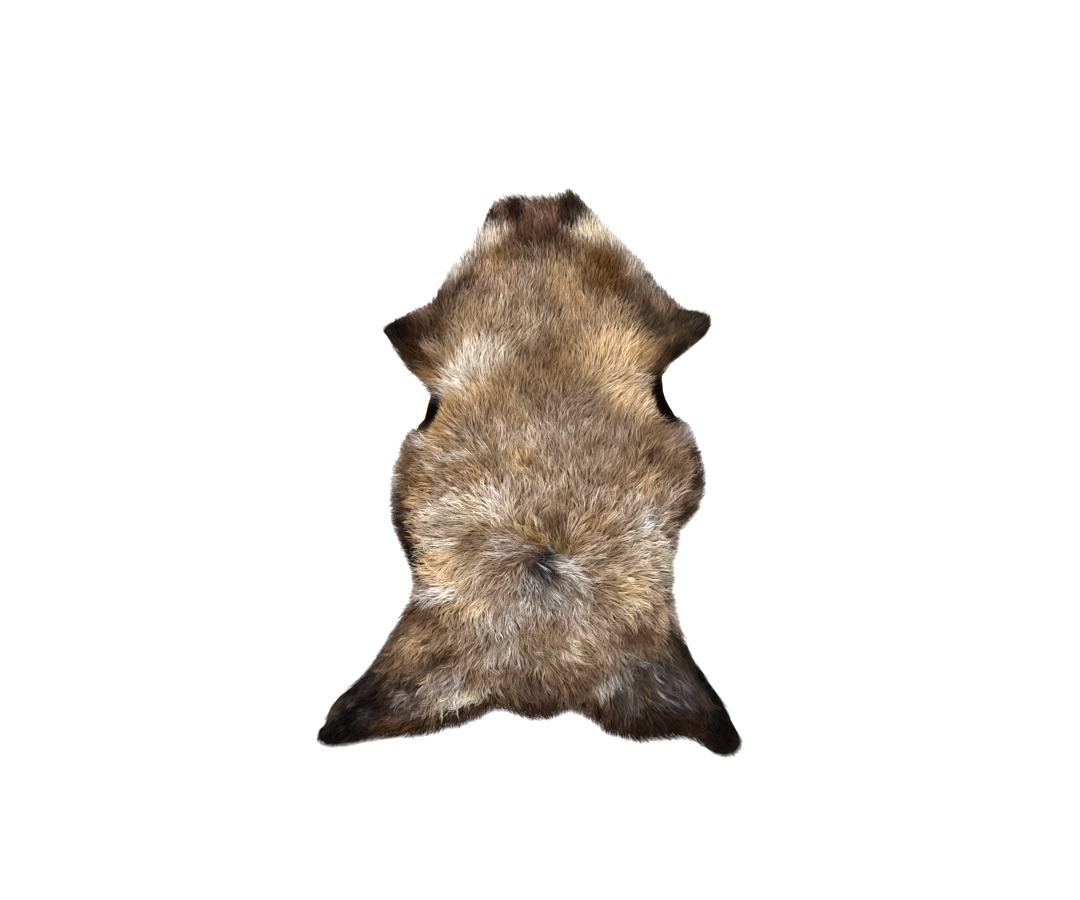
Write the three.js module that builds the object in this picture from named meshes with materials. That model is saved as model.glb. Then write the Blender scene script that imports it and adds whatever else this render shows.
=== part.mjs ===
// A sheepskin laid flat on the floor, wool side up: one tanned hide with its fleece on.
// Millimetres. +Z is up and the floor is Z = 0. +Y points to the neck, +X to the right of someone who
// stands at the hind legs. The origin is on the floor under the middle of the whole skin.
import * as THREE from 'three';

// Driving dimensions
const FLEECE_HEIGHT = 35;      // standing height of the wool on the back
const EDGE_HEIGHT = 10;        // height of the wool where it leaves the cut edge of the hide
const EDGE_ROUNDING = 80;      // width of the band in which the wool rises from the edge to the back
const LUMP_HEIGHT = 5;         // how far the fleece swells and sinks
const LUMP_SIZE = 58;          // distance from one swelling to the next
const FINE_LUMP_SHARE = 0.5;   // height of the half-size swellings beside the large ones
const FIELD_PITCH = 23;        // spacing of the points that carry the swellings
const FIELD_JITTER = 0.3;      // how far those points stray, as a share of their spacing
const FIELD_CLEARANCE = 0.55;  // how near they come to the row along the edge, in that spacing
const BAND_INSET = 14;         // distance from the edge to the first row of such points
const BAND_CROWDING = 0.9;     // share of that distance below which a point in a sharp corner is dropped

const LOCK_COUNT = 260;        // locks of wool that lie out over the edge, side by side
const LOCK_SPACING_JITTER = 0.4; // how uneven their roots are, as a share of their spacing
const LOCK_WAIST = 0.5;        // share of its length at which a lock is still broad
const LOCK_WAIST_WIDTH = 0.7;  // its width there, against its root
const LOCK_WAIST_HEIGHT = 0.65; // its height there, against its root
const LOCK_SHORTEST = 0.85;    // length of the shortest lock, against the fringe
const LOCK_LONGEST = 1.45;     // length of the longest one
const LOCK_COMBING = 0.55;     // how far the locks lean along the flow of the wool from the whorl
const LOCK_SWAY = 0.5;         // sideways stray of a lock's tip, as a share of its root

const CURVE_STEPS = 40;        // steps in which the outline is measured between two landmarks

// The whorl on the rump, where the wool parts and sinks.
const WHORL = { x: 31, y: -182, radius: 42, depth: 9 };

// Sections across the skin, from the neck to the hind toes: how far the wool reaches on each side,
// and by how much it passes the cut edge of the hide there.
const SECTIONS = [
  { place: 'neck corner', left: [-50, 506], right: [92, 516], fringe: 12 },
  { place: 'nape', left: [-88, 470], right: [128, 474], fringe: 14 },
  { place: 'throat', left: [-99, 432], right: [170, 430], fringe: 14 },
  { place: 'collar', left: [-124, 393], right: [205, 385], fringe: 14 },
  { place: 'shoulder', left: [-158, 350], right: [243, 343], fringe: 14 },
  { place: 'shoulder point', left: [-187, 306], right: [283, 302], fringe: 12 },
  { place: 'forearm', left: [-226, 284], right: [309, 289], fringe: 10 },
  { place: 'front of the fore toe', left: [-262, 266], right: [336, 284], fringe: 9 },
  { place: 'fore toe', left: [-276, 250], right: [345, 264], fringe: 9 },
  { place: 'back of the fore toe', left: [-262, 227], right: [328, 236], fringe: 9 },
  { place: 'elbow', left: [-238, 196], right: [290, 202], fringe: 8 },
  { place: 'front of the armpit', left: [-214, 166], right: [258, 178], fringe: 7 },
  { place: 'armpit', left: [-184, 138], right: [247, 150], fringe: 6 },
  { place: 'girth', left: [-189, 112], right: [254, 118], fringe: 7 },
  { place: 'chest', left: [-199, 78], right: [270, 90], fringe: 9 },
  { place: 'front of the belly', left: [-226, 49], right: [298, 66], fringe: 12 },
  { place: 'belly', left: [-243, 18], right: [313, 26], fringe: 14 },
  { place: 'flank', left: [-255, -40], right: [325, -36], fringe: 14 },
  { place: 'back of the flank', left: [-252, -90], right: [311, -86], fringe: 13 },
  { place: 'loin', left: [-240, -135], right: [276, -126], fringe: 11 },
  { place: 'waist', left: [-213, -194], right: [263, -182], fringe: 10 },
  { place: 'haunch', left: [-210, -230], right: [261, -236], fringe: 10 },
  { place: 'thigh', left: [-232, -285], right: [268, -288], fringe: 10 },
  { place: 'ham', left: [-262, -336], right: [290, -338], fringe: 10 },
  { place: 'hock', left: [-296, -384], right: [319, -384], fringe: 10 },
  { place: 'shank', left: [-342, -421], right: [345, -423], fringe: 10 },
  { place: 'outside of the hind toe', left: [-368, -462], right: [367, -466], fringe: 10 },
  { place: 'hind toe', left: [-380, -495], right: [381, -502], fringe: 9 },
];

// The hem behind the hind legs, from the left toe past the tail to the right toe.
const HEM = [
  { x: -364, y: -508, fringe: 9 },
  { x: -322, y: -507, fringe: 10 },
  { x: -256, y: -493, fringe: 12 },
  { x: -212, y: -492, fringe: 12 },
  { x: -152, y: -481, fringe: 13 },
  { x: -102, y: -464, fringe: 13 },
  { x: -66, y: -446, fringe: 12 },
  { x: -38, y: -447, fringe: 12 },
  { x: 2, y: -461, fringe: 13 },
  { x: 42, y: -456, fringe: 13 },
  { x: 80, y: -447, fringe: 13 },
  { x: 112, y: -463, fringe: 13 },
  { x: 150, y: -490, fringe: 14 },
  { x: 198, y: -501, fringe: 14 },
  { x: 258, y: -494, fringe: 13 },
  { x: 296, y: -498, fringe: 12 },
  { x: 325, y: -520, fringe: 11 },
  { x: 353, y: -528, fringe: 10 },
  { x: 374, y: -520, fringe: 9 },
];

// The neck edge, from its right corner to its left one.
const NECK = [
  { x: 78, y: 523, fringe: 12 },
  { x: 54, y: 512, fringe: 12 },
  { x: 4, y: 506, fringe: 12 },
  { x: -36, y: 509, fringe: 12 },
];

// A repeatable number from 0 to 1 for a pair of numbers: what a steep sine wave leaves past a whole one.
const CHANCE_WAVE = { first: 127.1, second: 311.7, steepness: 43758.5453 };

function chance(i, j) {
  const wave = CHANCE_WAVE.steepness * Math.sin(i * CHANCE_WAVE.first + j * CHANCE_WAVE.second);
  return wave - Math.floor(wave);
}

// Smooth swellings from -1 to 1, each about the given size: chances on a square net, eased between.
function swelling(x, y, size) {
  const column = Math.floor(x / size);
  const row = Math.floor(y / size);
  const across = THREE.MathUtils.smootherstep(x / size - column, 0, 1);
  const along = THREE.MathUtils.smootherstep(y / size - row, 0, 1);
  const near = THREE.MathUtils.lerp(chance(column, row), chance(column + 1, row), across);
  const far = THREE.MathUtils.lerp(chance(column, row + 1), chance(column + 1, row + 1), across);
  return 2 * THREE.MathUtils.lerp(near, far, along) - 1;
}

// The line that the tips of the wool reach, anticlockwise from the left neck corner. Its third
// coordinate carries the fringe, so that both change smoothly from one landmark to the next.
function reachCurve() {
  const leftSide = SECTIONS.map(({ left, fringe }) => new THREE.Vector3(...left, fringe));
  const rightSide = SECTIONS.map(({ right, fringe }) => new THREE.Vector3(...right, fringe));
  const edge = ({ x, y, fringe }) => new THREE.Vector3(x, y, fringe);
  const landmarks = [...leftSide, ...HEM.map(edge), ...rightSide.reverse(), ...NECK.map(edge)];
  const curve = new THREE.CatmullRomCurve3(landmarks, true, 'centripetal');
  curve.arcLengthDivisions = CURVE_STEPS * landmarks.length;
  return curve;
}

// Places round the skin where one lock ends and the next begins: the outward direction, the fringe,
// and the root of the wool on the edge of the hide.
function rimPlaces(curve, count) {
  const places = [];
  for (let i = 0; i < count; i += 1) {
    const share = (i + LOCK_SPACING_JITTER * chance(i, 1)) / count;
    const reach = curve.getPointAt(share);
    const tangent = curve.getTangentAt(share);
    const outward = new THREE.Vector2(tangent.y, -tangent.x).normalize();
    const fringe = reach.z;
    const root = new THREE.Vector2(reach.x, reach.y).addScaledVector(outward, -fringe);
    places.push({ root, outward, fringe });
  }
  return places;
}

// Distance from a point to the closed line through the roots.
function distanceToRim(point, rim) {
  let nearest = Infinity;
  rim.forEach(({ root }, i) => {
    const next = rim[(i + 1) % rim.length].root;
    const edge = next.clone().sub(root);
    const share = THREE.MathUtils.clamp(point.clone().sub(root).dot(edge) / edge.lengthSq(), 0, 1);
    nearest = Math.min(nearest, root.clone().addScaledVector(edge, share).distanceTo(point));
  });
  return nearest;
}

// True for a point inside the line through the roots: a ray from it crosses that line an odd number
// of times.
function insideRim(point, rim) {
  let inside = false;
  rim.forEach(({ root }, i) => {
    const next = rim[(i + 1) % rim.length].root;
    const straddles = root.y > point.y !== next.y > point.y;
    const crossing = root.x + ((point.y - root.y) * (next.x - root.x)) / (next.y - root.y);
    if (straddles && point.x < crossing) inside = !inside;
  });
  return inside;
}

// Points that carry the swellings: a row just inside the edge, then a staggered, uneven field.
function fieldPoints(rim) {
  const points = [];
  const bandPlaces = rim.filter((place, i) => i % 2 === 0);
  bandPlaces.forEach(({ root, outward }) => {
    const point = root.clone().addScaledVector(outward, -BAND_INSET);
    const clear = distanceToRim(point, rim) > BAND_CROWDING * BAND_INSET;
    if (clear && insideRim(point, rim)) points.push(point);
  });
  const box = new THREE.Box2().setFromPoints(rim.map(({ root }) => root));
  const rowPitch = FIELD_PITCH * Math.sin(Math.PI / 3);
  for (let row = 0; box.min.y + row * rowPitch < box.max.y; row += 1) {
    const stagger = (row % 2) * 0.5;
    for (let column = 0; box.min.x + column * FIELD_PITCH < box.max.x; column += 1) {
      const strayX = FIELD_JITTER * (chance(row, column) - 0.5);
      const strayY = FIELD_JITTER * (chance(column, row + 0.5) - 0.5);
      const point = new THREE.Vector2(
        box.min.x + (column + stagger + strayX) * FIELD_PITCH,
        box.min.y + (row + strayY) * rowPitch,
      );
      const clear = distanceToRim(point, rim) > BAND_INSET + FIELD_CLEARANCE * FIELD_PITCH;
      if (clear && insideRim(point, rim)) points.push(point);
    }
  }
  return points;
}

// The circle through three points, as its centre and squared radius.
function circleThrough(a, b, c) {
  const ab = b.clone().sub(a);
  const ac = c.clone().sub(a);
  const twiceArea = 2 * ab.cross(ac);
  const x = (ac.y * ab.lengthSq() - ab.y * ac.lengthSq()) / twiceArea;
  const y = (ab.x * ac.lengthSq() - ac.x * ab.lengthSq()) / twiceArea;
  return { x: a.x + x, y: a.y + y, radiusSq: x * x + y * y };
}

// Delaunay triangles of points in the plane, anticlockwise. They start from one triangle far round all
// points. Each point in turn empties the circles that hold it and joins the border of the hole.
const FAR_AWAY = 20;

function delaunay(points) {
  const box = new THREE.Box2().setFromPoints(points);
  const middle = box.getCenter(new THREE.Vector2());
  const far = FAR_AWAY * box.getSize(new THREE.Vector2()).length();
  const first = points.length;
  const all = [
    ...points,
    new THREE.Vector2(middle.x - far, middle.y - far),
    new THREE.Vector2(middle.x + far, middle.y - far),
    new THREE.Vector2(middle.x, middle.y + far),
  ];
  const triangle = (a, b, c) => ({ corners: [a, b, c], circle: circleThrough(all[a], all[b], all[c]) });
  let triangles = [triangle(first, first + 1, first + 2)];
  points.forEach((point, index) => {
    const holds = ({ circle }) => point.distanceToSquared(circle) < circle.radiusSq;
    const emptied = triangles.filter(holds);
    const border = new Map();
    emptied.forEach(({ corners: [a, b, c] }) => {
      [[a, b], [b, c], [c, a]].forEach(([from, to]) => {
        if (!border.delete(`${to},${from}`)) border.set(`${from},${to}`, [from, to]);
      });
    });
    triangles = triangles.filter((other) => !holds(other));
    border.forEach(([from, to]) => triangles.push(triangle(from, to, index)));
  });
  return triangles.map(({ corners }) => corners).filter((corners) => Math.max(...corners) < first);
}

// Standing height of the fleece over a point: a quarter of a sine wave up from the edge, swellings on
// the back, and the dip of the whorl.
function fleeceHeight(point, rim) {
  const inward = Math.min(distanceToRim(point, rim) / EDGE_ROUNDING, 1);
  const rise = Math.sin((inward * Math.PI) / 2);
  const large = swelling(point.x, point.y, LUMP_SIZE);
  const fine = FINE_LUMP_SHARE * swelling(point.x, point.y, LUMP_SIZE / 2);
  const fromWhorl = Math.hypot(point.x - WHORL.x, point.y - WHORL.y) / WHORL.radius;
  const dip = WHORL.depth * Math.exp(-fromWhorl * fromWhorl);
  return EDGE_HEIGHT + (FLEECE_HEIGHT - EDGE_HEIGHT + LUMP_HEIGHT * (large + fine)) * rise - dip;
}

// One closed surface: the lumpy top, the flat underside, and a row of locks that takes the place of
// the side wall. Every lock grows from one four-sided stretch of that wall, lies level on the floor
// and ends in a point.
function sheepskinGeometry() {
  const rim = rimPlaces(reachCurve(), LOCK_COUNT);
  const roots = rim.map(({ root }) => root);
  const field = fieldPoints(rim);
  const positions = [];
  const triangles = [];
  const addPoint = (flat, height) => positions.push(flat.x, flat.y, height) / 3 - 1;

  const topPoints = [...roots, ...field];
  const topHeight = (point, i) => (i < LOCK_COUNT ? EDGE_HEIGHT : fleeceHeight(point, rim));
  topPoints.forEach((point, i) => addPoint(point, topHeight(point, i)));
  delaunay(topPoints).forEach((corners) => {
    const centre = new THREE.Vector2();
    corners.forEach((corner) => centre.addScaledVector(topPoints[corner], 1 / 3));
    if (insideRim(centre, rim)) triangles.push(corners);
  });

  const floorStart = positions.length / 3;
  roots.forEach((root) => addPoint(root, 0));
  THREE.ShapeUtils.triangulateShape(roots, []).forEach(([a, b, c]) => {
    triangles.push([floorStart + a, floorStart + c, floorStart + b]);
  });

  rim.forEach((place, i) => {
    const next = (i + 1) % LOCK_COUNT;
    const side = roots[next].clone().sub(place.root);
    const middle = place.root.clone().addScaledVector(side, 0.5);
    const combed = middle.clone().sub(WHORL).normalize();
    const outward = place.outward.clone().add(rim[next].outward).normalize();
    outward.addScaledVector(combed, LOCK_COMBING).normalize();
    const length = place.fringe * THREE.MathUtils.lerp(LOCK_SHORTEST, LOCK_LONGEST, chance(i, 3));
    const sway = LOCK_SWAY * (chance(i, 7) - 0.5);
    const waistMiddle = middle.clone().addScaledVector(outward, LOCK_WAIST * length);
    waistMiddle.addScaledVector(side, sway * LOCK_WAIST ** 2);
    const waistHere = waistMiddle.clone().addScaledVector(side, -LOCK_WAIST_WIDTH / 2);
    const waistNext = waistMiddle.clone().addScaledVector(side, LOCK_WAIST_WIDTH / 2);
    const tip = addPoint(middle.addScaledVector(outward, length).addScaledVector(side, sway), 0);
    const waist = [
      addPoint(waistHere, 0),
      addPoint(waistNext, 0),
      addPoint(waistNext, LOCK_WAIST_HEIGHT * EDGE_HEIGHT),
      addPoint(waistHere, LOCK_WAIST_HEIGHT * EDGE_HEIGHT),
    ];
    const wall = [floorStart + i, floorStart + next, next, i];
    wall.forEach((corner, k) => {
      const turn = (k + 1) % wall.length;
      triangles.push([corner, waist[turn], waist[k]], [corner, wall[turn], waist[turn]]);
      triangles.push([waist[k], waist[turn], tip]);
    });
  });

  const geometry = new THREE.BufferGeometry();
  geometry.setAttribute('position', new THREE.Float32BufferAttribute(positions, 3));
  geometry.setIndex(triangles.flat());
  geometry.computeBoundingBox();
  const middle = geometry.boundingBox.getCenter(new THREE.Vector3());
  geometry.translate(-middle.x, -middle.y, 0);
  geometry.computeVertexNormals();
  return geometry;
}

const wool = new THREE.MeshStandardMaterial({ color: 0x8b745c, roughness: 0.95, metalness: 0 });
const sheepskin = new THREE.Mesh(sheepskinGeometry(), wool);
sheepskin.name = 'sheepskin';

const skin = new THREE.Group();
skin.add(sheepskin);

export default skin;
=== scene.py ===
# %% [markdown]
# # A sheepskin, strand by strand
# A sheepskin is one tanned hide with its wool still growing from it. It lies flat, wool side up, and
# what the eye sees is tens of thousands of strands in small locks, combed away from a parting on the rump.
# A particle system would be the usual way to grow hair. Here every strand is a small closed mesh that
# numpy works out as whole arrays, so the model keeps its wool wherever it goes.

# %% Load the packed solid as the frame
import math

import bpy
import numpy as np
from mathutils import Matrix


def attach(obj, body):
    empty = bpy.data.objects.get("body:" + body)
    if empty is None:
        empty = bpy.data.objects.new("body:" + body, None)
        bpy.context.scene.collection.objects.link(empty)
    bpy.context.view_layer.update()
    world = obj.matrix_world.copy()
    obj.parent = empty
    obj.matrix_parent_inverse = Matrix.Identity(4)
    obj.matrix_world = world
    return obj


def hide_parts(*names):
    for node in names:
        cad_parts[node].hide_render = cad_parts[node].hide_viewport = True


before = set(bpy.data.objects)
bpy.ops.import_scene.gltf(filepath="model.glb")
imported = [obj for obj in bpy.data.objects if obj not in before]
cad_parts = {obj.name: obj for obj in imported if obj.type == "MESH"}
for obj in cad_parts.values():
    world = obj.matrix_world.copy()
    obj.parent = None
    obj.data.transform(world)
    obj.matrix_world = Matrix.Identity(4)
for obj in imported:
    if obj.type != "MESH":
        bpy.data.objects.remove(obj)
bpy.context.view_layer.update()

MM = 0.001

# %% [markdown]
# ## What the solid tells us
# The solid already has the outline of the skin, with a row of locks round its edge. A place on the skin
# seen from above is kept as one complex number, x + iy, because a turn is then a product. The outline
# could be typed in again, but reading it off the solid keeps both in step.

# %% Read the border of the solid's underside
FLAT = 0.01 * MM


def solid_arrays(node):
    """The solid's points and triangles, with points that share a place counted once."""
    mesh = node.data
    mesh.calc_loop_triangles()
    flat = np.empty(3 * len(mesh.vertices))
    mesh.vertices.foreach_get("co", flat)
    corners = np.empty(3 * len(mesh.loop_triangles), dtype=int)
    mesh.loop_triangles.foreach_get("vertices", corners)
    points, same = np.unique(np.round(flat.reshape(-1, 3), 6), axis=0, return_inverse=True)
    return points, same.ravel()[corners].reshape(-1, 3)


def underside_border(points, triangles):
    """The border of the flat underside, anticlockwise: the edges that only one underside triangle has,
    walked from end to end."""
    under = triangles[(points[triangles, 2] < FLAT).all(axis=1)]
    edges = {tuple(edge) for i in range(3) for edge in np.roll(under, i, axis=1)[:, :2].tolist()}
    following = {end: start for start, end in edges if (end, start) not in edges}
    walk = [min(following)]
    while len(walk) < len(following):
        walk.append(following[walk[-1]])
    return points[walk, 0] + 1j * points[walk, 1]


points, triangles = solid_arrays(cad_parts["sheepskin"])
border = underside_border(points, triangles)
print(len(border), "points round the locks of the solid")

# %% [markdown]
# ## The edge of the skin
# Strands will make the fringe, so the solid's pointed locks have to go from the outline. A moving mean
# would shrink the toes. Leaving out the fast waves of the outline's Fourier series keeps them. Then the
# reach of the wool is added, and one toe gets the nick that the real one has.

# %% Smooth the outline
OUTLINE_POINTS = 900
OVERSAMPLING = 4
OUTLINE_WAVES = 95
WOOL_REACH = 2.5 * MM
# x, y, half width and depth in millimetres
NICKS = [(-366, -466, 8, 9)]


def even_line(line, count, closed=True):
    """Points spread evenly by length along a line of complex numbers."""
    path = np.append(line, line[:1]) if closed else line
    length = np.append(0, np.cumsum(np.abs(np.diff(path))))
    wanted = np.linspace(0, length[-1], count, endpoint=not closed)
    return np.interp(wanted, length, path.real) + 1j * np.interp(wanted, length, path.imag)


def slow_waves(line, kept):
    """A closed line without its fine teeth: of its Fourier series only the slowest waves are kept."""
    waves = np.fft.fft(line)
    waves[kept:-kept] = 0
    return even_line(np.fft.ifft(waves), len(line))


def nick_depth(line, x, y, half_width, deep):
    """How far a nick dents each point of a line: a bell curve over the distance to its place."""
    apart = np.abs(line - (x + 1j * y) * MM) / (half_width * MM)
    return deep * MM * np.exp(-apart ** 2)


smooth = slow_waves(even_line(border, OVERSAMPLING * OUTLINE_POINTS), OUTLINE_WAVES)[::OVERSAMPLING]
outward = -1j * (np.roll(smooth, -1) - np.roll(smooth, 1))
outward /= np.abs(outward)
outline = smooth + WOOL_REACH * outward
for nick in NICKS:
    outline = outline - nick_depth(outline, *nick) * outward
print(len(outline), "points on the outline,", round(np.abs(np.diff(outline)).sum(), 2), "m round")

# %% [markdown]
# ## Depth and height
# Two things have to be known at every place: how deep inside the edge it lies, and how high the wool
# stands there. Rays cast down on the solid would give the height with all its steps. A mean over the
# points nearby gives it smoothly. Both functions take and give whole arrays.

# %% Depth inside the edge, height of the wool
CHUNK = 3000
EDGE_TOP = 9 * MM
BELL = 13 * MM
top = points[points[:, 2] > EDGE_TOP]


def in_chunks(work, places):
    """work on a long array a stretch at a time, which keeps its tables small."""
    return np.concatenate([work(places[i:i + CHUNK]) for i in range(0, len(places), CHUNK)])


def depth(places):
    """Distance to the outline, positive inside: the nearest outline point and its outward direction
    say how far and on which side."""
    def nearest(some):
        apart = some[:, None] - outline
        index = np.abs(apart).argmin(axis=1)
        gap = apart[np.arange(len(some)), index]
        outside = (gap * outward[index].conj()).real > 0
        return np.where(outside, -1, 1) * np.abs(gap)
    return in_chunks(nearest, places)


def wool_height(places):
    """Height of the solid's top over each place: the mean of its points, weighted by a bell curve."""
    def mean(some):
        apart = np.abs(some[:, None] - (top[:, 0] + 1j * top[:, 1]))
        weight = np.exp(-0.5 * (apart / BELL) ** 2) + 1e-12
        return weight @ top[:, 2] / weight.sum(axis=1)
    return in_chunks(mean, places)


probe = np.array([0, 0.2 + 0.1j])
print("depth", depth(probe).round(3), "height", wool_height(probe).round(4))

# %% [markdown]
# ## Unevenness and combing
# Nothing on a fleece is even. Drift is a smooth field of chance values, much like a noise texture, but in
# numpy, because the strands themselves need it. The wool lies straight away from the nearest point of a
# short parting on the rump, and drift sways it, most of all beside the parting.

# %% Drift and the way the wool lies
NET = 128
PARTING = np.array((4 - 178j, 66 - 172j)) * MM
PARTING_TWIST = math.radians(35)
TWIST_SIZE = 45 * MM
# rows of drift: amount (here in degrees), size in millimetres, seed
SWAYS = [(24, 105, 5), (30, 46, 6)]
PARTING_SWAYS = [(45, 24, 8)]
PARTING_SIZE = 80 * MM


def drift(places, size, seed):
    """Smooth unevenness from -1 to 1: chance values on a square net, eased from knot to knot."""
    net = np.random.default_rng(seed).uniform(-1, 1, (NET, NET))
    column, row = np.floor(places.real / size).astype(int), np.floor(places.imag / size).astype(int)
    across, along = places.real / size - column, places.imag / size - row
    across, along = across ** 2 * (3 - 2 * across), along ** 2 * (3 - 2 * along)
    near = net[row % NET, column % NET] * (1 - across) + net[row % NET, (column + 1) % NET] * across
    row = row + 1
    far = net[row % NET, column % NET] * (1 - across) + net[row % NET, (column + 1) % NET] * across
    return near * (1 - along) + far * along


def drifts(places, rows):
    """The sum of some rows of drift, each times its amount."""
    return sum(amount * drift(places, size * MM, seed) for amount, size, seed in rows)


def combing(places):
    """The way the wool lies, as complex numbers of length 1: straight away from the nearest point of the
    parting, twisted near it and swayed by drift."""
    start, stop = PARTING
    share = ((places - start) * (stop - start).conj()).real / np.abs(stop - start) ** 2
    away = places - (start + np.clip(share, 0, 1) * (stop - start))
    reach = np.abs(away) + 1e-6
    turn = PARTING_TWIST * np.exp(-(reach / TWIST_SIZE) ** 2)
    turn += np.radians(drifts(places, SWAYS))
    turn += np.exp(-(reach / PARTING_SIZE) ** 2) * np.radians(drifts(places, PARTING_SWAYS))
    return away / reach * np.exp(1j * turn)


print("combed towards", np.degrees(np.angle(combing(probe))).round(), "degrees")

# %% [markdown]
# ## Where the wool differs
# In two strips at the armpits the wool is very short, on the toes it is short and dense, and long fluff
# stands out beside and above the neck. The forequarters are sleek, the hindquarters tousled. A painted
# mask could say so. An ellipse, or a limit along the back, does it with a few sizes that can be read.

# %% Strips, toes, fluff and sleekness
# x, y, half length, half width in millimetres, turn in degrees
SHORT_STRIPS = [(-186, 90, 40, 14, 70), (248, 120, 42, 18, -72)]
PAWS = [
    (-252, 256, 42, 30, -20), (322, 262, 42, 34, 0), (-345, -468, 62, 46, 30), (354, -490, 56, 42, -55),
]
FLUFFY = [
    (-122, 400, 80, 20, 58), (-84, 462, 40, 16, 70), (176, 408, 60, 18, -52), (8, 506, 80, 14, 3),
]
STRIP_SQUARENESS = 4
STRIP_FRAY = [(3, 12, 9)]
STRIP_SLACK = 0.5
# along the back, in millimetres: where the tousled wool ends, and how much further on it is sleek
TOUSLED_UP_TO = -60
SLEEK_AFTER = 200


def ellipse_radius(places, x, y, half_length, half_width, turn, power=2):
    """How many times as far out as an ellipse each place lies: 1 on the ellipse, 0 in its middle. Powers
    above two square it off."""
    apart = (places - (x + 1j * y) * MM) * np.exp(-1j * math.radians(turn)) / MM
    across, along = np.abs(apart.real / half_length), np.abs(apart.imag / half_width)
    return (across ** power + along ** power) ** (1 / power)


def within(places, ellipses):
    """1 inside any of some ellipses, 0 at half as far out again, with an even change in between."""
    return np.max([np.clip(3 - 2 * ellipse_radius(places, *ellipse), 0, 1) for ellipse in ellipses], axis=0)


def strip_gap(places):
    """Distance to the nearest strip of short wool, negative inside it, with a frayed edge."""
    radii = [ellipse_radius(places, *strip, power=STRIP_SQUARENESS) for strip in SHORT_STRIPS]
    gaps = [(radius - 1) * strip[3] * MM for radius, strip in zip(radii, SHORT_STRIPS)]
    return np.min(gaps, axis=0) + drifts(places, STRIP_FRAY) * MM


def fleece_depth(places, slack=0.0):
    """Distance to the edge of the long wool, positive inside. That edge is the outline, which may be passed
    by the slack, or a strip of short wool, which may be passed by half of it."""
    return np.minimum(depth(places) + slack, strip_gap(places) + STRIP_SLACK * slack)


def sleekness(places):
    """1 on the sleek forequarters, 0 on the tousled hindquarters, with an even change in between."""
    return np.clip((places.imag / MM - TOUSLED_UP_TO) / SLEEK_AFTER, 0, 1)


print("fleece depth", fleece_depth(probe).round(3), "sleekness", sleekness(probe).round(2))

# %% [markdown]
# ## The colours of the wool
# The skin is mottled: black at the toes and in the strips, dark brown along the edge and on the legs,
# tan on neck and shoulders, gold and cream behind the forelegs, grey on the rump. A photograph could be
# laid over it. A painter would lay soft patches over a ground colour instead, and so does this table:
# each row is one ellipse and the wool it is painted with, named from a palette.
# A few small silver and slate patches on the hind legs and the left toe are painted highlights.

# %% The palette and the patches
WOOLS = {
    "black": (18, 11, 8), "seal": (42, 26, 18), "umber": (66, 42, 27), "bark": (106, 74, 48),
    "taupe": (148, 117, 85), "fawn": (190, 163, 133), "tan": (189, 157, 124), "gold": (194, 156, 104),
    "honey": (238, 213, 175), "ochre": (108, 74, 37), "rust": (126, 90, 60), "cream": (245, 231, 209),
    "ivory": (255, 250, 240), "silver": (220, 209, 197), "ash": (184, 167, 149), "slate": (80, 73, 71),
    "straw": (255, 222, 172), "cocoa": (136, 106, 89),
}
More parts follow.
